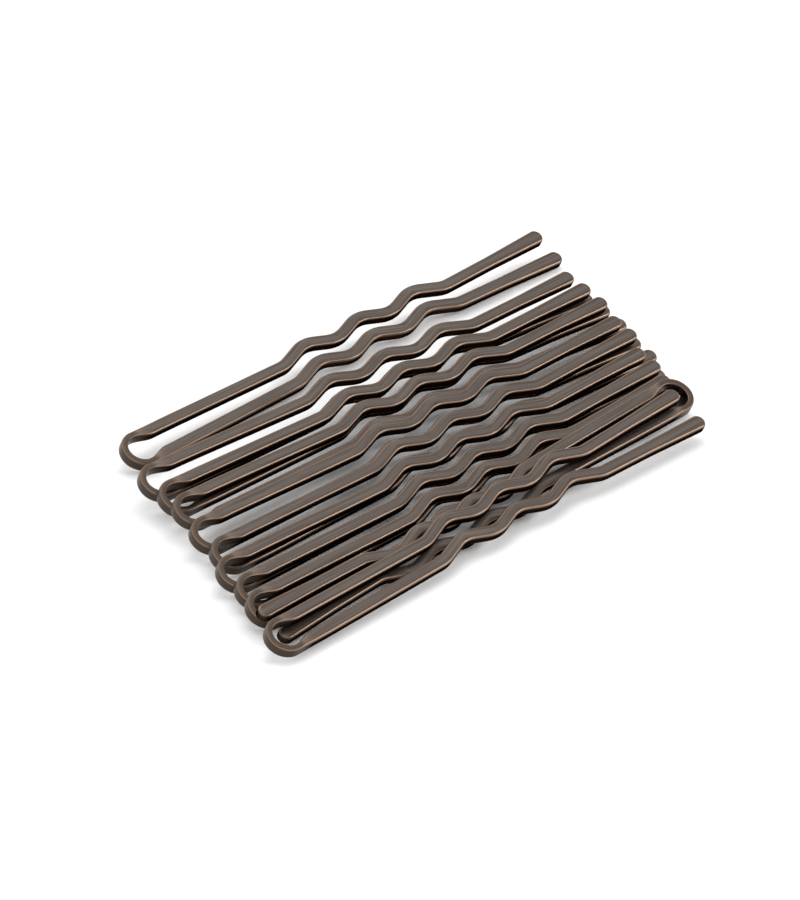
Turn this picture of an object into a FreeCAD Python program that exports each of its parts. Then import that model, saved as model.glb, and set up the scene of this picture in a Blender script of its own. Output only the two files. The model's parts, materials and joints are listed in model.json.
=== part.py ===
import FreeCAD, Part
import math
import os
import Sketcher

# A handful of crinkled U-shaped hair pins, lying shingled one against the other.
# Each pin is one flattened steel wire: a tight bend standing on edge, two crinkled legs and flared tips.
# The wire is divided where the bend runs out, so that the legs can spring apart.
# Frame: +X runs from the bends to the tips, -Y is the near side, +Z is up, the floor is Z = 0.

DRIVING_SIZES = [
    ("pin_length", 51.0, "bend to tip, overall"),
    ("leg_width", 1.1, "flat of the leg, in the pin's plane"),
    ("leg_thickness", 0.9, "leg, square to the pin's plane"),
    ("bend_height", 1.05, "strip at the bend, square to the pin's plane"),
    ("bend_strip", 0.6, "strip at the bend, in the pin's plane"),
    ("bend_spread", 2.45, "leg centres at the bend"),
    ("waist_spread", 2.0, "leg centres at the crinkles"),
    ("tip_spread", 2.6, "leg centres at the tips"),
    ("shoulder_length", 2.2, "run over which the strip turns from edge to flat"),
    ("stub_length", 1.2, "straight start of a leg"),
    ("tail_length", 12.2, "last crinkle to the tip"),
    ("crinkle_pitch", 6.4, "one crinkle to the next"),
    ("crinkle_rise", 1.1, "height of a crinkle between its corners"),
    ("crinkle_radius", 3.0, "inside the corners of the crinkles, on the centre line"),
    ("crinkle_count", 3, "crinkles on each leg"),
    ("easing_radius", 14.0, "gentle turns of the legs, on the centre line"),
    ("tip_width", 1.36, "flared tip"),
    ("tip_taper", 6.0, "run over which the tip flares"),
    ("row_pitch", 2.55, "one leaning pin to the next, along the floor"),
    ("row_clearance", 0.07, "between leaning neighbours"),
]

# Where each pin lies: its place in the row, how far it is pushed along its length, how far it is
# raised up the slope, its turn in its own plane and how far its far leg is sprung open, in degrees.
# The first pin lies apart behind the row, and the one turned by a half turn is reversed.
HALF_TURN = 180.0
LAYOUT = {
    "pin_01": {"row": -3, "push": 3.6, "raised": 0.0, "turn": 0.1, "open": 0.0},
    "pin_02": {"row": 0, "push": 0.0, "raised": 0.5, "turn": -1.6, "open": 0.0},
    "pin_03": {"row": 1, "push": -0.5, "raised": 0.6, "turn": -1.1, "open": 0.0},
    "pin_04": {"row": 2, "push": -1.2, "raised": 0.5, "turn": -1.4, "open": 0.0},
    "pin_05": {"row": 3, "push": -2.5, "raised": 0.1, "turn": -0.8, "open": 0.0},
    "pin_06": {"row": 4, "push": -3.2, "raised": 0.2, "turn": 0.0, "open": 0.0},
    "pin_07": {"row": 5, "push": -5.0, "raised": 0.0, "turn": -0.2, "open": 0.0},
    "pin_08": {"row": 6, "push": -5.7, "raised": 0.0, "turn": 0.4, "open": 0.0},
    "pin_09": {"row": 7, "push": -7.0, "raised": 0.0, "turn": 0.6, "open": 0.0},
    "pin_10": {"row": 8, "push": 40.2, "raised": 0.0, "turn": HALF_TURN + 2.0, "open": 0.0},
    "pin_11": {"row": 9, "push": -9.4, "raised": 0.6, "turn": 1.5, "open": 0.8},
}

doc = FreeCAD.newDocument("hair_pins")
sheet = doc.addObject("Spreadsheet::Sheet", "Sizes")
for row, (alias, value, meaning) in enumerate(DRIVING_SIZES, start=1):
    sheet.set(f"A{row}", alias)
    sheet.set(f"B{row}", str(value))
    sheet.set(f"C{row}", meaning)
    sheet.setAlias(f"B{row}", alias)
doc.recompute()


def size(alias):
    """A driving size, read back from the sheet."""
    return float(getattr(sheet, alias))


# The outside of the bend runs on from the outer edges of the legs.
LEG_OFFSET = size("bend_spread") / 2
RING_RADIUS = LEG_OFFSET + (size("leg_width") - size("bend_strip")) / 2
BEND_REACH = RING_RADIUS + size("bend_strip") / 2
TIP_X = size("pin_length") - BEND_REACH
TIP_REACH = (size("tip_spread") + size("tip_width")) / 2
CRINKLE_START = TIP_X - size("tail_length") - size("crinkle_count") * size("crinkle_pitch")
SLAB = max(size("bend_height"), size("leg_thickness"))
LEAN = math.degrees(math.asin((SLAB + size("row_clearance")) / size("row_pitch")))


def origin_plane(body, role):
    """One of a body's own base planes."""
    for feature in body.Origin.OriginFeatures:
        if feature.Role == role:
            return feature
    raise LookupError(role)


def new_sketch(body, name, role, offset=0.0):
    """A sketch on one of the body's own base planes, or parallel to it."""
    sketch = body.newObject("Sketcher::SketchObject", name)
    sketch.AttachmentSupport = [(origin_plane(body, role), "")]
    sketch.MapMode = "FlatFace"
    sketch.AttachmentOffset = FreeCAD.Placement(FreeCAD.Vector(0, 0, offset), FreeCAD.Rotation())
    return sketch


def strip_section(sketch, centre, across, height):
    """A rectangle centred at (centre, 0), whose width and height follow two cells of the sheet."""
    half_across = size(across) / 2
    half_height = size(height) / 2
    corners = [
        FreeCAD.Vector(centre - half_across, -half_height, 0),
        FreeCAD.Vector(centre + half_across, -half_height, 0),
        FreeCAD.Vector(centre + half_across, half_height, 0),
        FreeCAD.Vector(centre - half_across, half_height, 0),
    ]
    for index, corner in enumerate(corners):
        sketch.addGeometry(Part.LineSegment(corner, corners[(index + 1) % 4]))
    for index in range(4):
        sketch.addConstraint(Sketcher.Constraint("Coincident", index, 2, (index + 1) % 4, 1))
    for index, kind in enumerate(("Horizontal", "Vertical", "Horizontal", "Vertical")):
        sketch.addConstraint(Sketcher.Constraint(kind, index))
    wide = sketch.addConstraint(Sketcher.Constraint("DistanceX", 0, 1, 0, 2, 2 * half_across))
    tall = sketch.addConstraint(Sketcher.Constraint("DistanceY", 1, 1, 1, 2, 2 * half_height))
    sketch.setExpression(f"Constraints[{wide}]", f"Sizes.{across}")
    sketch.setExpression(f"Constraints[{tall}]", f"Sizes.{height}")
    sketch.addConstraint(Sketcher.Constraint("DistanceX", -1, 1, 0, 1, corners[0].x))
    sketch.addConstraint(Sketcher.Constraint("DistanceY", -1, 1, 0, 1, corners[0].y))


def make_bend(label):
    """The bend: a half ring of strip on edge, and two shoulders where it turns into the flat legs."""
    body = doc.addObject("PartDesign::Body", label)
    ring_section = new_sketch(body, f"{label}_ring_section", "YZ_Plane")
    strip_section(ring_section, RING_RADIUS, "bend_strip", "bend_height")
    ring = body.newObject("PartDesign::Revolution", f"{label}_ring")
    ring.Profile = ring_section
    ring.ReferenceAxis = (ring_section, ["V_Axis"])
    ring.Angle = HALF_TURN
    for side, name in ((1, "far"), (-1, "near")):
        root = new_sketch(body, f"{label}_{name}_root", "YZ_Plane")
        strip_section(root, side * RING_RADIUS, "bend_strip", "bend_height")
        end = new_sketch(body, f"{label}_{name}_end", "YZ_Plane", size("shoulder_length"))
        end.setExpression("AttachmentOffset.Base.z", "Sizes.shoulder_length")
        strip_section(end, side * LEG_OFFSET, "leg_width", "leg_thickness")
        shoulder = body.newObject("PartDesign::AdditiveLoft", f"{label}_{name}_shoulder")
        shoulder.Profile = root
        shoulder.Sections = [end]
        shoulder.Ruled = True
    return body


def leg_corners(side, opened):
    """Corner points of a leg's centre line, each with the radius of its rounding."""
    easing = size("easing_radius")
    start = FreeCAD.Vector(size("shoulder_length"), side * LEG_OFFSET, 0)
    hinge = start + FreeCAD.Vector(size("stub_length"), 0, 0)
    waist = side * size("waist_spread") / 2
    half_pitch = size("crinkle_pitch") / 2
    corners = [(FreeCAD.Vector(CRINKLE_START, waist, 0), size("crinkle_radius"))]
    steps = 2 * int(size("crinkle_count"))
    for step in range(1, steps + 1):
        rise = size("crinkle_rise") if step % 2 else 0.0
        place = FreeCAD.Vector(CRINKLE_START + step * half_pitch, waist + rise, 0)
        corners.append((place, size("crinkle_radius")))
    tip_centre = FreeCAD.Vector(TIP_X - size("tip_width") / 2, side * size("tip_spread") / 2, 0)
    corners.append((tip_centre, 0.0))
    spring = FreeCAD.Rotation(FreeCAD.Vector(0, 0, 1), side * opened)
    turned = [(hinge + spring.multVec(place - hinge), radius) for place, radius in corners]
    return [(start, 0.0), (hinge, easing)] + turned


def left_normal(a, b):
    """Unit vector to the left of the run from a to b."""
    run = (b - a).normalize()
    return FreeCAD.Vector(-run.y, run.x, 0)


def offset_corners(corners, distance):
    """The corners moved to the left of the path, with the roundings kept concentric."""
    places = [place for place, radius in corners]
    normals = [left_normal(a, b) for a, b in zip(places, places[1:])]
    moved = []
    for index, (place, radius) in enumerate(corners):
        before = normals[max(index - 1, 0)]
        after = normals[min(index, len(normals) - 1)]
        mitre = before + after
        shift = mitre * (2 * distance / mitre.dot(mitre))
        turns_left = before.cross(after).z > 0
        moved.append((place + shift, radius - distance if turns_left else radius + distance))
    return moved


def rounded_path(corners):
    """Straight runs joined by tangent arcs, as curves in order."""
    curves = []
    last = corners[0][0]
    for (before, _), (place, radius), (after, _) in zip(corners, corners[1:], corners[2:]):
        into = (place - before).normalize()
        away = (after - place).normalize()
        turn = into.getAngle(away)
        trim = radius * math.tan(turn / 2)
        arc_start = place - into * trim
        arc_end = place + away * trim
        inward = (away - into).normalize()
        middle = place + inward * (radius / math.cos(turn / 2) - radius)
        curves.append(Part.LineSegment(last, arc_start))
        curves.append(Part.Arc(arc_start, middle, arc_end))
        last = arc_end
    curves.append(Part.LineSegment(last, corners[-1][0]))
    return curves


def leg_outline(side, opened):
    """The leg's flat outline: two parallel crinkled sides, the flaring tip and its round end."""
    corners = leg_corners(side, opened)
    tip_centre = corners[-1][0]
    tail = (tip_centre - corners[-2][0]).normalize()
    tail_left = FreeCAD.Vector(-tail.y, tail.x, 0)
    flare_start = tip_centre - tail * size("tip_taper")
    half_leg = size("leg_width") / 2
    half_tip = size("tip_width") / 2
    shank = corners[:-1] + [(flare_start, 0.0)]
    left = rounded_path(offset_corners(shank, half_leg))
    right = rounded_path(offset_corners(shank, -half_leg))
    left_tip = tip_centre + tail_left * half_tip
    right_tip = tip_centre - tail_left * half_tip
    left.append(Part.LineSegment(left[-1].EndPoint, left_tip))
    right.append(Part.LineSegment(right[-1].EndPoint, right_tip))
    cap = Part.Arc(left_tip, tip_centre + tail * half_tip, right_tip)
    heel = Part.LineSegment(right[0].StartPoint, left[0].StartPoint)
    return left + [cap] + right + [heel]


def make_leg(label, side, opened):
    """A leg: the flat outline, as thick as the flattened wire."""
    body = doc.addObject("PartDesign::Body", label)
    sketch = new_sketch(body, f"{label}_outline", "XY_Plane")
    for curve in leg_outline(side, opened):
        sketch.addGeometry(curve)
    pad = body.newObject("PartDesign::Pad", f"{label}_strip")
    pad.Profile = sketch
    pad.Midplane = True
    pad.setExpression("Length", "Sizes.leg_thickness")
    return body


def lowest_reach(turn):
    """How far a pin turned in its own plane reaches down the slope from its bend's centre."""
    spin = FreeCAD.Rotation(FreeCAD.Vector(0, 0, 1), turn)
    marks = [FreeCAD.Vector(TIP_X, TIP_REACH, 0), FreeCAD.Vector(TIP_X, -TIP_REACH, 0)]
    marks += [FreeCAD.Vector(0, BEND_REACH, 0), FreeCAD.Vector(0, -BEND_REACH, 0)]
    return max(-spin.multVec(mark).y for mark in marks)


def pin_placement(spot):
    """A pin's place: leaning, with its near side on the floor."""
    spin = FreeCAD.Rotation(FreeCAD.Vector(0, 0, 1), spot["turn"])
    lean = FreeCAD.Rotation(FreeCAD.Vector(1, 0, 0), LEAN)
    up_slope = lowest_reach(spot["turn"]) + spot["raised"]
    foot = FreeCAD.Vector(spot["push"], -size("row_pitch") * spot["row"], 0)
    centre = foot + lean.multVec(FreeCAD.Vector(0, up_slope, SLAB / 2))
    return FreeCAD.Placement(centre, lean.multiply(spin))


pieces = []
for pin, spot in LAYOUT.items():
    placement = pin_placement(spot)
    trio = [
        make_bend(f"{pin}_bend"),
        make_leg(f"{pin}_far_leg", 1, spot["open"]),
        make_leg(f"{pin}_near_leg", -1, 0.0),
    ]
    for piece in trio:
        piece.Placement = placement
    pieces.extend(trio)
doc.recompute()

# The origin is the middle of the handful's footprint, on the floor.
whole = FreeCAD.BoundBox()
for piece in pieces:
    whole.add(piece.Shape.optimalBoundingBox(False))
to_origin = FreeCAD.Vector(-whole.Center.x, -whole.Center.y, -whole.ZMin)
for piece in pieces:
    piece.Placement = FreeCAD.Placement(piece.Placement.Base + to_origin, piece.Placement.Rotation)
doc.recompute()

for item in doc.Objects:
    if "Invalid" in item.State or "Error" in item.State:
        raise RuntimeError(f"{item.Label} failed: {item.State}")
for piece in pieces:
    if piece.Shape.isNull() or not piece.Shape.isValid():
        raise RuntimeError(f"{piece.Label} has no valid solid")

os.makedirs("parts", exist_ok=True)
for piece in pieces:
    piece.Shape.exportStep(f"parts/{piece.Label}.step")
print(f"{len(pieces)} pieces, leaning by {LEAN:.2f} degrees")
print(f"{whole.XLength:.2f} x {whole.YLength:.2f} x {whole.ZLength:.2f} mm overall")
for pin in LAYOUT:
    bend = doc.getObjectsByLabel(f"{pin}_bend")[0]
    normal = bend.Placement.Rotation.multVec(FreeCAD.Vector(0, 0, 1))
    out = bend.Placement.Rotation.multVec(FreeCAD.Vector(-1, 0, 0))
    print(pin, "bend centre", bend.Placement.Base, "normal", normal, "bend first", out)
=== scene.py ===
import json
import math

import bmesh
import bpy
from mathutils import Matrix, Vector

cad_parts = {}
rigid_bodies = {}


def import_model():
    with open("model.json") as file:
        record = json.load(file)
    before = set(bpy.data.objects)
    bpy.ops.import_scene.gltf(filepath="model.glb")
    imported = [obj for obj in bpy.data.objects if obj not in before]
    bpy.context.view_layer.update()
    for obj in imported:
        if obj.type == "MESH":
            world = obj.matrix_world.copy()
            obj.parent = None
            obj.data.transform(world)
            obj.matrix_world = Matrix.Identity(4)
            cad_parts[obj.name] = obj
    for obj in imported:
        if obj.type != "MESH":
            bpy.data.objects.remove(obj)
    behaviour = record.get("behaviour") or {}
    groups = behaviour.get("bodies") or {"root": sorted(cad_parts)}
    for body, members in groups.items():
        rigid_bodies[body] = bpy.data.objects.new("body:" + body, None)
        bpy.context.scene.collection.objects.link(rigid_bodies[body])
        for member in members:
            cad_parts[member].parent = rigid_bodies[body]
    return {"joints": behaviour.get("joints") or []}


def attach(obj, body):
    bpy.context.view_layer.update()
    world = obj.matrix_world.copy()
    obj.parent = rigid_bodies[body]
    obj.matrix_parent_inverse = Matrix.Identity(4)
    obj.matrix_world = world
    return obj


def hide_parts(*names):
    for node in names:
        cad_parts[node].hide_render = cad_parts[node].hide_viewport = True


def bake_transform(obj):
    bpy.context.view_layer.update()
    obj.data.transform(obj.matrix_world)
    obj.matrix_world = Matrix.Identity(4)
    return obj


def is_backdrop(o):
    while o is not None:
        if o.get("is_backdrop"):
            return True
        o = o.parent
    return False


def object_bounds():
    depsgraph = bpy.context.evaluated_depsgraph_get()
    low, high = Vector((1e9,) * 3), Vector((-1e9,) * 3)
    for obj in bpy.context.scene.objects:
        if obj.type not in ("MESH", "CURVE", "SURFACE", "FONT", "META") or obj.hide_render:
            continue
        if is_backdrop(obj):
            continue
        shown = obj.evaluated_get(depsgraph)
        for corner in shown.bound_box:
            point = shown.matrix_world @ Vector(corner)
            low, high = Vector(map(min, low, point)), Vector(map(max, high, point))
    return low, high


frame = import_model()

# %% [markdown]
# # A handful of crinkled hair pins
#
# A hair pin of this kind is one length of steel wire, rolled flat, bent once into a narrow U, crinkled in
# the middle of both legs and flared at the tips. The crinkles hold the hair and the bend is the spring.
# Eleven of them lie shingled on a white floor. One lies the other way round, and one a little apart,
# behind the row.
#
# The imported CAD part is the fixed frame. Its solids already have the main shapes, with sharp edges. The
# pieces made here stand for them with what a camera sees from close by: rounded edges, a smooth twist
# from the bend to the legs, brushed metal and a dark finish, with painted shade on the sides of the legs and
# a painted highlight along the edges.

cad_low, cad_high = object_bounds()
print("CAD box in metres:", [round(side, 5) for side in cad_high - cad_low])

# %% [markdown]
# ## The sizes of one pin
#
# All lengths are in millimetres, in the frame of a single pin: x runs from the bend to the tips, y across
# the two legs and z square to the pin. The origin is the centre of the bend. The same sizes drive the CAD
# solids, so that the dressed pins lie where the solids lie. Only the rounding of the edges is added here.

# %%
MM = 0.001
PIN_LENGTH = 51.0
LEG_WIDTH = 1.1
LEG_THICKNESS = 0.9
BEND_HEIGHT = 1.05
BEND_STRIP = 0.6
BEND_SPREAD = 2.45
WAIST_SPREAD = 2.0
TIP_SPREAD = 2.6
SHOULDER_LENGTH = 2.2
STUB_LENGTH = 1.2
TAIL_LENGTH = 12.2
CRINKLE_PITCH = 6.4
CRINKLE_RISE = 1.1
CRINKLE_RADIUS = 3.0
CRINKLE_COUNT = 3
EASING_RADIUS = 14.0
TIP_WIDTH = 1.36
TIP_TAPER = 6.0
EDGE_ROUND = 0.22

LEG_OFFSET = BEND_SPREAD / 2
RING_RADIUS = LEG_OFFSET + (LEG_WIDTH - BEND_STRIP) / 2
TIP_X = PIN_LENGTH - RING_RADIUS - BEND_STRIP / 2
CRINKLE_START = TIP_X - TAIL_LENGTH - CRINKLE_COUNT * CRINKLE_PITCH
print("crinkles from", round(CRINKLE_START, 2), "to", round(TIP_X - TAIL_LENGTH, 2), "mm")
print("tips at", round(TIP_X, 2), "mm")

# %% [markdown]
# ## The line that a leg follows
#
# A crinkled leg is drawn as a row of corner points, each with a rounding: the wire is pressed between
# toothed dies, and its corners take the radius of the teeth. Both legs hump to the same side, because
# both are pressed in one stroke. A leg that is sprung open turns about the corner behind its bend.


# %%
def leg_corners(side, opened):
    """Corner points of a leg's centre line, each with its rounding."""
    start = Vector((SHOULDER_LENGTH, side * LEG_OFFSET, 0))
    hinge = start + Vector((STUB_LENGTH, 0, 0))
    waist = side * WAIST_SPREAD / 2
    corners = []
    for step in range(2 * CRINKLE_COUNT + 1):
        rise = CRINKLE_RISE if step % 2 else 0.0
        corners.append((Vector((CRINKLE_START + step * CRINKLE_PITCH / 2, waist + rise, 0)), CRINKLE_RADIUS))
    corners.append((Vector((TIP_X - TIP_WIDTH / 2, side * TIP_SPREAD / 2, 0)), 0.0))
    spring = Matrix.Rotation(math.radians(side * opened), 3, "Z")
    turned = [(hinge + spring @ (place - hinge), radius) for place, radius in corners]
    return [(start, 0.0), (hinge, EASING_RADIUS)] + turned


print(len(leg_corners(1, 0.0)), "corners on a leg")

# %% [markdown]
# ## Drawing out a flat strip
#
# The leg starts as one short edge across the wire. Extruding that edge makes a straight run, and spinning
# it makes a bent one, which is how the wire itself is formed: drawn straight, then turned round a die.
# The corners could be worked out point by point, but a spin keeps them round by itself.

# %%
ARC_STEPS = 6
UPRIGHT = Vector((0, 0, 1))


def picked(items, kind):
    """The items of one kind, such as the edges of what an operator made."""
    return [item for item in items if isinstance(item, kind)]


def moved_edge(bm, edge, shift):
    """Extrude an edge and return the new one."""
    made = bmesh.ops.extrude_edge_only(bm, edges=[edge])["geom"]
    ends = picked(made, bmesh.types.BMVert)
    bmesh.ops.translate(bm, vec=shift, verts=ends)
    return next(item for item in picked(made, bmesh.types.BMEdge) if set(item.verts) == set(ends))


def draw_shank(bm, corners):
    """The straight and bent runs of a leg; returns the edge before the flare and the way on from it."""
    place = corners[0][0]
    half = Vector((0, LEG_WIDTH / 2, 0))
    ends = [bmesh.ops.create_vert(bm, co=place + side * half)["vert"][0] for side in (-1, 1)]
    edge = bmesh.ops.contextual_create(bm, geom=ends)["edges"][0]
    for (before, _), (corner, radius), (after, _) in zip(corners, corners[1:], corners[2:]):
        into = (corner - before).normalized()
        away = (after - corner).normalized()
        turn = math.atan2(into.cross(away).z, into.dot(away))
        trim = radius * math.tan(abs(turn) / 2)
        edge = moved_edge(bm, edge, corner - into * trim - place)
        left = Vector((-into.y, into.x, 0))
        centre = corner - into * trim + left * math.copysign(radius, turn)
        turned = bmesh.ops.spin(bm, geom=[edge, *edge.verts], cent=centre, axis=UPRIGHT, angle=turn,
                                steps=ARC_STEPS)
        edge = picked(turned["geom_last"], bmesh.types.BMEdge)[0]
        place = corner + away * trim
    tail = (corners[-1][0] - place).normalized()
    return moved_edge(bm, edge, corners[-1][0] - tail * TIP_TAPER - place), tail


slope = math.atan2(CRINKLE_RISE, CRINKLE_PITCH / 2)
print("the wire slopes by", round(math.degrees(slope), 1), "degrees on a crinkle")

# %% [markdown]
# ## The flare and the round tip
#
# The end of a real pin is hammered a little wider and rounded off, so that it doesn't scratch. The flare
# is an extrusion that widens step by step. The round end goes on with ever shorter edges, and the edges
# inside it are dissolved into one flat face, which keeps the light on it even.

# %%
FLARE_STEPS = 4
CAP_STEPS = 8


def resized(bm, edge, centre, factor):
    """Scale an edge about its middle."""
    bmesh.ops.scale(bm, vec=(factor, factor, 1), space=Matrix.Translation(-centre), verts=list(edge.verts))


def draw_tip(bm, edge, tip_centre, tail):
    """The flare and the round end."""
    width = LEG_WIDTH
    for step in range(1, FLARE_STEPS + 1):
        edge = moved_edge(bm, edge, tail * TIP_TAPER / FLARE_STEPS)
        wanted = LEG_WIDTH + (TIP_WIDTH - LEG_WIDTH) * step / FLARE_STEPS
        resized(bm, edge, tip_centre - tail * TIP_TAPER * (1 - step / FLARE_STEPS), wanted / width)
        width = wanted
    inner = []
    reach = 0.0
    for step in range(1, CAP_STEPS + 1):
        angle = math.pi / 2 * step / (CAP_STEPS + 1)
        inner.append(edge)
        edge = moved_edge(bm, edge, tail * (TIP_WIDTH / 2 * math.sin(angle) - reach))
        reach = TIP_WIDTH / 2 * math.sin(angle)
        wanted = TIP_WIDTH * math.cos(angle)
        resized(bm, edge, tip_centre + tail * reach, wanted / width)
        width = wanted
    bmesh.ops.dissolve_edges(bm, edges=inner[1:], use_verts=False)


print("a tip widens from", LEG_WIDTH, "to", TIP_WIDTH, "mm")

# %% [markdown]
# ## Thickness and rounded edges
#
# The flat strip gets its thickness, and its long edges are bevelled: rolled wire has no sharp edge, and
# the bright line along a pin is the light on that rounding. The heel stays square, because the real wire
# runs on there into the bend.

# %%
EDGE_SEGMENTS = 5
RIM_ANGLE = math.radians(69)
CLOSE = 0.01


def keep_square(bm, heel_x):
    """Mark the edges of the cut ends as sharp, so that they don't shade the strip beside them."""
    for edge in bm.edges:
        if all(abs(vert.co.x - heel_x) < CLOSE for vert in edge.verts):
            edge.smooth = False


def thicken(bm, heel_x):
    """Give the flat strip its thickness and round its edges, but not those of the heel."""
    flat = bm.faces[:] + bm.edges[:] + bm.verts[:]
    made = bmesh.ops.extrude_face_region(bm, geom=flat, use_keep_orig=True)["geom"]
    raised = picked(made, bmesh.types.BMVert)
    bmesh.ops.translate(bm, vec=LEG_THICKNESS * UPRIGHT, verts=raised)
    bmesh.ops.translate(bm, vec=-LEG_THICKNESS / 2 * UPRIGHT, verts=bm.verts[:])
    bmesh.ops.recalc_face_normals(bm, faces=bm.faces[:])
    rims = [edge for edge in bm.edges if edge.is_manifold and edge.calc_face_angle() > RIM_ANGLE]
    rims = [edge for edge in rims if max(vert.co.x for vert in edge.verts) > heel_x + CLOSE]
    bmesh.ops.bevel(bm, geom=rims, offset=EDGE_ROUND, offset_type="OFFSET", affect="EDGES",
                    segments=EDGE_SEGMENTS, profile=0.5, material=-1)
    keep_square(bm, heel_x)
    return rims


def leg_form(name, side, opened):
    """A finished leg in the frame of its pin, in millimetres."""
    corners = leg_corners(side, opened)
    bm = bmesh.new()
    edge, tail = draw_shank(bm, corners)
    draw_tip(bm, edge, corners[-1][0], tail)
    rims = thicken(bm, SHOULDER_LENGTH)
    mesh = bpy.data.meshes.new(name)
    bm.to_mesh(mesh)
    bm.free()
    line = [place for place, radius in corners]
    print(name, len(mesh.polygons), "faces,", len(rims), "edges rounded")
    return mesh, line


print("edges rounded by", EDGE_ROUND, "mm in", EDGE_SEGMENTS, "steps")

# %% [markdown]
# ## The bend and its shoulders
#
# At the bend the strip stands on edge, which lets it turn tightly in the pin's plane. On each side it
# twists flat over a short shoulder, with its outer edge running on smoothly. One rounded section is
# swept: extruded and reshaped in small steps over the first shoulder, spun by half a turn, then extruded
# over the second.

# %%
SHOULDER_STEPS = 9
RING_STEPS = 21


def eased(fraction):
    """Slow at both ends."""
    return fraction * fraction * (3 - 2 * fraction)


def shoulder_section(fraction):
    """Middle, width and height of the strip, from the leg (0) to the bend (1)."""
    share = eased(fraction)
    middle = LEG_OFFSET + (RING_RADIUS - LEG_OFFSET) * share
    width = LEG_WIDTH + (BEND_STRIP - LEG_WIDTH) * share
    height = LEG_THICKNESS + (BEND_HEIGHT - LEG_THICKNESS) * share
    return middle, width, height


def sweep_shoulder(bm, loop, side, fractions):
    """Extrude a section over a shoulder, reshaping it on the way; returns the last loop of edges."""
    for here, there in zip(fractions, fractions[1:]):
        middle, width, height = shoulder_section(here)
        next_middle, next_width, next_height = shoulder_section(there)
        made = bmesh.ops.extrude_edge_only(bm, edges=loop)["geom"]
        ring = picked(made, bmesh.types.BMVert)
        loop = [edge for edge in picked(made, bmesh.types.BMEdge) if set(edge.verts) <= set(ring)]
        bmesh.ops.scale(bm, vec=(1, next_width / width, next_height / height), verts=ring,
                        space=Matrix.Translation((0, -side * middle, 0)))
        step = Vector((SHOULDER_LENGTH * (here - there), side * (next_middle - middle), 0))
        bmesh.ops.translate(bm, vec=step, verts=ring)
    return loop


def bend_form(name):
    """A finished bend in the frame of its pin, in millimetres."""
    bm = bmesh.new()
    bmesh.ops.create_grid(bm, x_segments=1, y_segments=1, size=0.5)
    bmesh.ops.scale(bm, vec=(LEG_WIDTH, LEG_THICKNESS, 1), verts=bm.verts[:])
    bmesh.ops.bevel(bm, geom=bm.verts[:], offset=EDGE_ROUND, offset_type="OFFSET", affect="VERTICES",
                    segments=EDGE_SEGMENTS, profile=0.5, material=-1)
    upright = Matrix(((0, 0, 1), (1, 0, 0), (0, 1, 0))).to_4x4()
    place = Matrix.Translation((SHOULDER_LENGTH, -LEG_OFFSET, 0))
    bmesh.ops.transform(bm, matrix=place @ upright, verts=bm.verts[:])
    fractions = [step / SHOULDER_STEPS for step in range(SHOULDER_STEPS + 1)]
    loop = sweep_shoulder(bm, bm.edges[:], -1, fractions)
    corners = list({vert for edge in loop for vert in edge.verts})
    turned = bmesh.ops.spin(bm, geom=loop + corners, cent=(0, 0, 0), axis=UPRIGHT, angle=-math.pi,
                            steps=RING_STEPS)
    loop = picked(turned["geom_last"], bmesh.types.BMEdge)
    loop = sweep_shoulder(bm, loop, 1, fractions[::-1])
    bmesh.ops.edgeloop_fill(bm, edges=loop)
    bmesh.ops.recalc_face_normals(bm, faces=bm.faces[:])
    keep_square(bm, SHOULDER_LENGTH)
    mesh = bpy.data.meshes.new(name)
    bm.to_mesh(mesh)
    bm.free()
    print(name, len(mesh.polygons), "faces")
    return mesh


print("bend", round(2 * RING_RADIUS + BEND_STRIP, 2), "mm across, its strip", BEND_HEIGHT, "mm high")

# %% [markdown]
# ## Where the grain runs
#
# Brushing leaves fine lines along the wire, round the crinkles and round the bend. So each point carries
# its own place on the wire: how far along, how far across and how high, in millimetres. A second value
# tells the bend, where the strip stands on edge, from the legs.


# %%
def place_on_leg(point, line):
    """Along, across and height of a point on a leg."""
    ahead = next((index for index in range(1, len(line) - 1) if line[index].x > point.x), len(line) - 1)
    a = line[ahead - 1]
    b = line[ahead]
    middle = a.y + (b.y - a.y) * (point.x - a.x) / (b.x - a.x)
    return Vector((point.x, point.y - middle, point.z)), 0.0


def place_on_bend(point):
    """Along, across and height of a point on a bend, and how far the strip stands on edge there."""
    quarter = RING_RADIUS * math.pi / 2
    if point.x > 0:
        fraction = 1 - point.x / SHOULDER_LENGTH
        middle = shoulder_section(max(fraction, 0.0))[0]
        return Vector((point.x + quarter, abs(point.y) - middle, point.z)), eased(max(fraction, 0.0))
    angle = math.atan2(abs(point.y), -point.x)
    return Vector((RING_RADIUS * angle, math.hypot(point.x, point.y) - RING_RADIUS, point.z)), 1.0


def mark_grain(mesh, finder):
    """Store each point's place on the wire."""
    found = [finder(vert.co) for vert in mesh.vertices]
    mesh.attributes.new("grain", "FLOAT_VECTOR", "POINT")
    mesh.attributes.new("on_edge", "FLOAT", "POINT")
    for value, (place, edgewise) in zip(mesh.attributes["grain"].data, found):
        value.vector = place
    for value, (place, edgewise) in zip(mesh.attributes["on_edge"].data, found):
        value.value = edgewise
    return mesh


def marked_leg(name, side, opened):
    """A finished leg whose points know their place on the wire."""
    mesh, line = leg_form(name, side, opened)
    return mark_grain(mesh, lambda point: place_on_leg(point, line))


LAST_PIN_OPEN = 0.8
forms = {
    "bend": mark_grain(bend_form("bend_form"), place_on_bend),
    "far_leg": marked_leg("far_leg_form", 1, 0.0),
    "near_leg": marked_leg("near_leg_form", -1, 0.0),
    "open_far_leg": marked_leg("open_far_leg_form", 1, LAST_PIN_OPEN),
}

# %% [markdown]
# ## Colours and nodes
#
# A colour is written as it looks on a screen, and one function turns it to linear light. Another adds a
# node with its settings and links. The others are short ways to write what the finish needs more than
# once.


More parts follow.
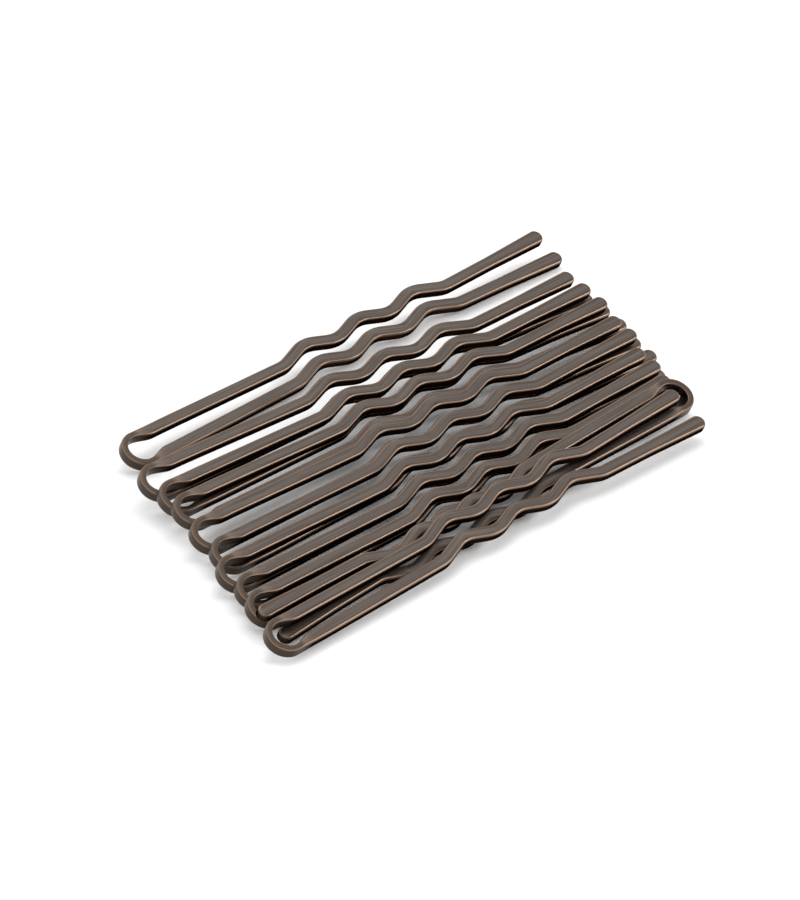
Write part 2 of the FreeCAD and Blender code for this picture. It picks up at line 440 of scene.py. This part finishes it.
# %%
def linear(hex_colour):
    """An sRGB hex colour as a linear RGBA."""
    parts = [int(hex_colour[index:index + 2], 16) / 255 for index in (1, 3, 5)]
    return [part / 12.92 if part <= 0.04045 else ((part + 0.055) / 1.055) ** 2.4 for part in parts] + [1.0]


def add_node(tree, kind, settings=None, **inputs):
    """A node with its settings; an input is a value or a socket to link from, and i0 is the first input."""
    node = tree.nodes.new(kind)
    for key, value in (settings or {}).items():
        setattr(node, key, value)
    for key, value in inputs.items():
        numbered = key[0] == "i" and key[1:].isdigit()
        socket = node.inputs[int(key[1:]) if numbered else key.replace("_", " ")]
        if isinstance(value, bpy.types.NodeSocket):
            tree.links.new(value, socket)
        else:
            socket.default_value = value
    return node


def blank_material(name):
    """An empty material and its output node."""
    material = bpy.data.materials.new(name)
    material.use_nodes = True
    material.node_tree.nodes.clear()
    return material, add_node(material.node_tree, "ShaderNodeOutputMaterial")


def step_up(tree, value, low, high):
    """0 below low, 1 above high, smooth between."""
    smooth = {"interpolation_type": "SMOOTHSTEP"}
    node = add_node(tree, "ShaderNodeMapRange", smooth, Value=value, From_Min=low, From_Max=high)
    return node.outputs["Result"]


def mixed(tree, factor, a, b):
    """Colour a where the factor is 0 and b where it is 1."""
    node = add_node(tree, "ShaderNodeMix", {"data_type": "RGBA"}, i0=factor, i6=a, i7=b)
    return node.outputs[2]


print("a mid grey is", round(linear("#808080")[0], 3), "in linear light")

# %% [markdown]
# ## The brushed grain
#
# The wire is brushed along its length, which leaves fine scratches. They are one noise, stretched along
# the wire: about 8 mm long and a ninth of a millimetre wide. It reads the place on the wire, so that it
# follows the crinkles and goes round the bend. Real scratches are finer, and these are as coarse as they
# need to be to show.

# %%
GRAINS_ALONG = 0.12
GRAINS_ACROSS = 9.0
BRUSH_DEPTH = 0.02
BRUSH_STRENGTH = 0.25

wire, wire_out = blank_material("satin_bronze_wire")
tree = wire.node_tree
place = add_node(tree, "ShaderNodeAttribute", {"attribute_name": "grain"}).outputs["Vector"]
per_mm = (GRAINS_ALONG, GRAINS_ACROSS, GRAINS_ACROSS)
stretched = add_node(tree, "ShaderNodeVectorMath", {"operation": "MULTIPLY"}, i0=place, i1=per_mm)
noise = add_node(tree, "ShaderNodeTexNoise", Vector=stretched.outputs[0], Scale=1.0, Detail=5.0,
                 Roughness=0.6)
grain = noise.outputs[0]
bump = add_node(tree, "ShaderNodeBump", Strength=BRUSH_STRENGTH, Distance=BRUSH_DEPTH * MM, Height=grain)
print("grain", round(1 / GRAINS_ALONG, 1), "mm long and", round(1 / GRAINS_ACROSS, 2), "mm wide")

# %% [markdown]
# ## The tones of a leg
#
# The finish is a dark bronze-brown over steel. The flats are brushed through to grey along their middle
# and stay brown along their margins. The sides are painted darker, as painted shade, and the rounded edges
# get a pale warm line, a painted highlight. All of that hangs on two places: how far across the wire a point
# lies, and how high. The shares are parts of the rounding's height, from the side (0) to the flat (1).

# %%
FLAT_DARK = linear("#514A45")
FLAT_PALE = linear("#6E6660")
MARGIN_DARK = linear("#483B32")
MARGIN_PALE = linear("#63544A")
# Painted shade: the colour of a leg's sides, darker than the flats, as if in shade between the pins.
SIDE_PAINTED_SHADE = linear("#352A22")
# Painted highlight: the pale warm line on the rounded edges of the legs and bends.
EDGE_PAINTED_HIGHLIGHT = linear("#7F6C5E")
GRAIN_LOW = 0.26
GRAIN_HIGH = 0.74
MARGIN_START = 0.12
MARGIN_FULL = 0.45
SIDE_END = 0.7
# Where the painted highlight rises and fades over the rounding of an edge.
HIGHLIGHT_START = 0.3
HIGHLIGHT_FULL = 0.65
HIGHLIGHT_FADE = 0.85
HIGHLIGHT_END = 0.99

split = add_node(tree, "ShaderNodeSeparateXYZ", i0=place)
across = add_node(tree, "ShaderNodeMath", {"operation": "ABSOLUTE"}, i0=split.outputs["Y"]).outputs[0]
height = add_node(tree, "ShaderNodeMath", {"operation": "ABSOLUTE"}, i0=split.outputs["Z"]).outputs[0]
contrast = step_up(tree, grain, GRAIN_LOW, GRAIN_HIGH)
middle = mixed(tree, contrast, FLAT_DARK, FLAT_PALE)
margin = mixed(tree, contrast, MARGIN_DARK, MARGIN_PALE)
flat = mixed(tree, step_up(tree, across, MARGIN_START, MARGIN_FULL), middle, margin)
rounding = LEG_THICKNESS / 2 - EDGE_ROUND
on_flat = step_up(tree, height, rounding, rounding + SIDE_END * EDGE_ROUND)
rise = step_up(tree, height, rounding + HIGHLIGHT_START * EDGE_ROUND, rounding + HIGHLIGHT_FULL * EDGE_ROUND)
fall = step_up(tree, height, rounding + HIGHLIGHT_FADE * EDGE_ROUND, rounding + HIGHLIGHT_END * EDGE_ROUND)
# The band of the painted highlight on a leg's rounded edges.
painted_highlight_band = add_node(tree, "ShaderNodeMath", {"operation": "SUBTRACT", "use_clamp": True}, i0=rise, i1=fall)
# Painted shade: the sides of a leg take the darker colour.
leg_tone = mixed(tree, on_flat, SIDE_PAINTED_SHADE, flat)
leg_tone = mixed(tree, painted_highlight_band.outputs[0], leg_tone, EDGE_PAINTED_HIGHLIGHT)
print("rounding from", round(rounding, 2), "to", LEG_THICKNESS / 2, "mm above the middle of the wire")

# %% [markdown]
# ## The tones of a bend
#
# On the bend the strip stands on edge, so its broad sides are walls and its narrow side is on top. The
# walls are mid-brown, the top a little paler, and a painted highlight runs along the rim between them.

# %%
BEND_WALL = linear("#463C35")
BEND_TOP = linear("#54483F")
RIM_START = 0.4
RIM_FULL = 0.8
TOP_START = 0.03
TOP_FULL = 0.002

on_edge = add_node(tree, "ShaderNodeAttribute", {"attribute_name": "on_edge"}).outputs["Fac"]
bend_rounding = BEND_HEIGHT / 2 - EDGE_ROUND * BEND_HEIGHT / LEG_THICKNESS
# The painted highlight along the rounded rim of a bend.
rim = step_up(tree, height, bend_rounding + RIM_START * EDGE_ROUND, bend_rounding + RIM_FULL * EDGE_ROUND)
top = step_up(tree, height, BEND_HEIGHT / 2 - TOP_START, BEND_HEIGHT / 2 - TOP_FULL)
bend_tone = mixed(tree, rim, BEND_WALL, EDGE_PAINTED_HIGHLIGHT)
bend_tone = mixed(tree, top, bend_tone, BEND_TOP)
print("a bend's rounding starts", round(bend_rounding, 2), "mm above its middle")

# %% [markdown]
# ## The finished metal
#
# Brushed steel under a thin dark finish is a metal with a satin roughness, a little rougher where the
# scratches are dense. On the sides of a leg the reflection that a metal has at a low angle is painted
# darker, as painted shade.

# %%
SMOOTHEST = 0.3
ROUGHEST = 0.46

# Satin bronze-brown finish on flat steel wire: a long soft sheen, painted shade on the sides and a painted
# highlight along every edge.
tone = mixed(tree, on_edge, leg_tone, bend_tone)
satin = add_node(tree, "ShaderNodeMapRange", Value=grain, To_Min=SMOOTHEST, To_Max=ROUGHEST)
# Painted shade in the reflection: the low-angle sheen is darkened on the sides of a leg and left white
# elsewhere.
bright = add_node(tree, "ShaderNodeMath", {"operation": "MAXIMUM"}, i0=on_flat, i1=on_edge)
painted_shade_tint = mixed(tree, bright.outputs[0], SIDE_PAINTED_SHADE, linear("#FFFFFF"))
metal = add_node(tree, "ShaderNodeBsdfPrincipled", Base_Color=tone, Metallic=1.0, Roughness=satin.outputs[0],
                 Specular_Tint=painted_shade_tint, Normal=bump.outputs[0])
tree.links.new(metal.outputs[0], wire_out.inputs["Surface"])
print("finish:", wire.name, len(tree.nodes), "nodes")

# %% [markdown]
# ## Laying the pins
#
# Each pin is placed by its own spring hinge: the hinge sits at the centre of the bend, its axis is square
# to the pin, and the pin is drawn out bend first, against x. The first pin is the one that the others are
# drawn past, so it has no such slide, and its turn is given. The leg that lies higher springs away from
# the floor, the lower one stays with the pin, and the bend is left where it is laid, on neither of them.
# On the reversed pin the two have changed places, and its hinge turns the other way. Each wire gets a
# stretch of the grain of its own.

# %%
FIRST_PIN_TURN = 0.1
NEXT_WIRE = 70.0
OTHER_LEG = 35.0
hinges = {joint["parent"]: joint for joint in frame["joints"] if joint["name"].endswith("_spread")}
slides = {joint["child"]: joint for joint in frame["joints"] if joint["name"].endswith("_draw")}


def pin_matrix(pin):
    """From a pin's own frame in millimetres to the row frame in metres."""
    axis = Vector(hinges[pin]["axis"]).normalized()
    up = axis if axis.z > 0 else -axis
    if pin in slides:
        along = -Vector(slides[pin]["axis"])
    else:
        along = Matrix.Rotation(math.radians(FIRST_PIN_TURN), 3, up) @ Vector((1, 0, 0))
    along = (along - up * along.dot(up)).normalized()
    turn = Matrix((along, up.cross(along), up)).transposed().to_4x4()
    return Matrix.Translation(hinges[pin]["pos_m"]) @ turn @ Matrix.Scale(MM, 4)


def lay_piece(pin, piece, form, matrix, grain_shift):
    """A copy of a form in its place, with the finish on."""
    mesh = form.copy()
    mesh.name = f"{pin}_{piece}_wire"
    for value in mesh.attributes["grain"].data:
        value.vector = value.vector + Vector((grain_shift, 0, 0))
    mesh.transform(matrix)
    mesh.shade_smooth()
    mesh.materials.append(wire)
    obj = bpy.data.objects.new(mesh.name, mesh)
    bpy.context.scene.collection.objects.link(obj)
    even = obj.modifiers.new("even_flats", "WEIGHTED_NORMAL")
    even.keep_sharp = True
    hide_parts(f"{pin}_{piece}")
    return obj


last_pin = max(hinges)
for number, pin in enumerate(sorted(hinges)):
    matrix = pin_matrix(pin)
    far_form = forms["open_far_leg" if pin == last_pin else "far_leg"]
    shift = NEXT_WIRE * number
    bend = lay_piece(pin, "bend", forms["bend"], matrix, shift)
    near_leg = lay_piece(pin, "near_leg", forms["near_leg"], matrix, shift)
    far_leg = lay_piece(pin, "far_leg", far_form, matrix, shift + OTHER_LEG)
    inner = LEG_OFFSET - LEG_WIDTH / 2
    near_side = matrix @ Vector((0, -inner, 0))
    far_side = matrix @ Vector((0, inner, 0))
    if hinges[pin]["axis"][2] > 0:
        still, sprung, start, end = near_leg, far_leg, near_side, far_side
    else:
        still, sprung, start, end = far_leg, near_leg, far_side, near_side
    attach(still, pin)
    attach(sprung, f"{pin}_sprung_leg")
    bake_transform(bend)
for form in forms.values():
    bpy.data.meshes.remove(form)
print(len(hinges), "pins laid")

# %% [markdown]
# ## The floor
#
# The pins lie on a plain sheet of white paper. It is matt and keeps the shadow, and it is lifted a little
# to white where the camera sees it, also in the metal.

# %%
FLOOR_SIZE = 6.0
FLOOR_LIFT = 0.04


def seen_directly(tree):
    """1 for what the camera sees itself, in a mirror or through glass, and 0 for what only lights."""
    path = add_node(tree, "ShaderNodeLightPath")
    either = add_node(tree, "ShaderNodeMath", {"operation": "MAXIMUM"}, i0=path.outputs["Is Camera Ray"],
                      i1=path.outputs["Is Glossy Ray"])
    return add_node(tree, "ShaderNodeMath", {"operation": "MAXIMUM"}, i0=either.outputs[0],
                    i1=path.outputs["Is Transmission Ray"]).outputs[0]


# Matt white paper sweep.
paper, paper_out = blank_material("white_sweep")
tree = paper.node_tree
matt = add_node(tree, "ShaderNodeBsdfDiffuse", Color=linear("#FAFAFA"))
lift = add_node(tree, "ShaderNodeMath", {"operation": "MULTIPLY"}, i0=seen_directly(tree), i1=FLOOR_LIFT)
glow = add_node(tree, "ShaderNodeEmission", Strength=lift.outputs[0])
both = add_node(tree, "ShaderNodeAddShader", i0=matt.outputs[0], i1=glow.outputs[0])
tree.links.new(both.outputs[0], paper_out.inputs["Surface"])

floor_bm = bmesh.new()
bmesh.ops.create_grid(floor_bm, x_segments=1, y_segments=1, size=FLOOR_SIZE)
floor_mesh = bpy.data.meshes.new("sweep")
floor_bm.to_mesh(floor_mesh)
floor_bm.free()
floor_mesh.materials.append(paper)
floor = bpy.data.objects.new("sweep", floor_mesh)
bpy.context.scene.collection.objects.link(floor)
floor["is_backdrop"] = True
print("floor", 2 * FLOOR_SIZE, "m wide")

# %% [markdown]
# ## The light
#
# A white tent would light the pins evenly, and a white world does the same. A broad soft light overhead,
# a little behind, throws the short shadow to the front. A smaller one low on the right, in front, is
# mirrored in the near edges and draws the bright line along them.

# %%
world = bpy.data.worlds.new("studio")
world.use_nodes = True
bpy.context.scene.world = world
tree = world.node_tree
tree.nodes.clear()
sky = add_node(tree, "ShaderNodeBackground", Color=linear("#FFFFFF"), Strength=1.0)
tree.links.new(sky.outputs[0], add_node(tree, "ShaderNodeOutputWorld").inputs["Surface"])


def soft_light(name, place, aim, size, watts):
    """A square area light that looks at a point."""
    lamp = bpy.data.lights.new(name, "AREA")
    lamp.size = size
    lamp.energy = watts
    obj = bpy.data.objects.new(name, lamp)
    obj.location = place
    obj.rotation_euler = (Vector(aim) - Vector(place)).to_track_quat("-Z", "Y").to_euler()
    bpy.context.scene.collection.objects.link(obj)
    obj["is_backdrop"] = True
    return obj


lamps = [
    soft_light("overhead", (0.12, 0.15, 0.5), (0, 0, 0), 0.4, 0.8),
    soft_light("edge_light", (0.35, -0.36, 0.26), (0, 0, 0), 0.16, 1.0),
]
print("lamps:", [(lamp.name, lamp.data.energy, "W") for lamp in lamps])

# %% [markdown]
# ## The camera
#
# The photo looks down on the pins with a long lens, from the side of the bends and half along them. The
# camera stands far off and is aimed so that the middle of the row falls on its place in the picture, 800
# by 900 pixels.

# %%
VIEW_ELEVATION = math.radians(30.0)
VIEW_SIDE = math.radians(45.37)
VIEW_DISTANCE = 0.9
PIXELS_PER_MM = 12.03
LONG_SIDE = 900
SENSOR = 36.0
PICTURE_CENTRE = Vector((400.0, 450.0))
MIDDLE_IN_PICTURE = Vector((440.0, 486.0))
MIDDLE_ON_FLOOR = Vector((-2.2, -5.5, 0.0))

level = math.cos(VIEW_ELEVATION)
forward = Vector((math.sin(VIEW_SIDE) * level, math.cos(VIEW_SIDE) * level, -math.sin(VIEW_ELEVATION)))
right = Vector((math.cos(VIEW_SIDE), -math.sin(VIEW_SIDE), 0.0))
above = right.cross(forward)
offset = (MIDDLE_IN_PICTURE - PICTURE_CENTRE) / PIXELS_PER_MM
aim = MIDDLE_ON_FLOOR - offset.x * right + offset.y * above
lens = bpy.data.cameras.new("camera")
lens.sensor_width = SENSOR
lens.lens = PIXELS_PER_MM / MM * VIEW_DISTANCE * SENSOR / LONG_SIDE
lens.clip_start = 0.01
lens.clip_end = 50.0
camera = bpy.data.objects.new("camera", lens)
camera.location = aim * MM - forward * VIEW_DISTANCE
camera.rotation_euler = forward.to_track_quat("-Z", "Y").to_euler()
bpy.context.scene.collection.objects.link(camera)
bpy.context.scene.camera = camera
bpy.context.scene.view_settings.view_transform = "Standard"
print("lens", round(lens.lens), "mm")

# %% [markdown]
# ## A last look at the size
#
# How far the dressed pins reach beyond the box of the CAD part is worked out and printed. Both boxes are
# kept side by side.

# %%
low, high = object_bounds()
beyond = [max(below, over) / MM for below, over in zip(cad_low - low, high - cad_high)]
print("beyond the CAD box by mm:", [round(value, 4) for value in beyond])
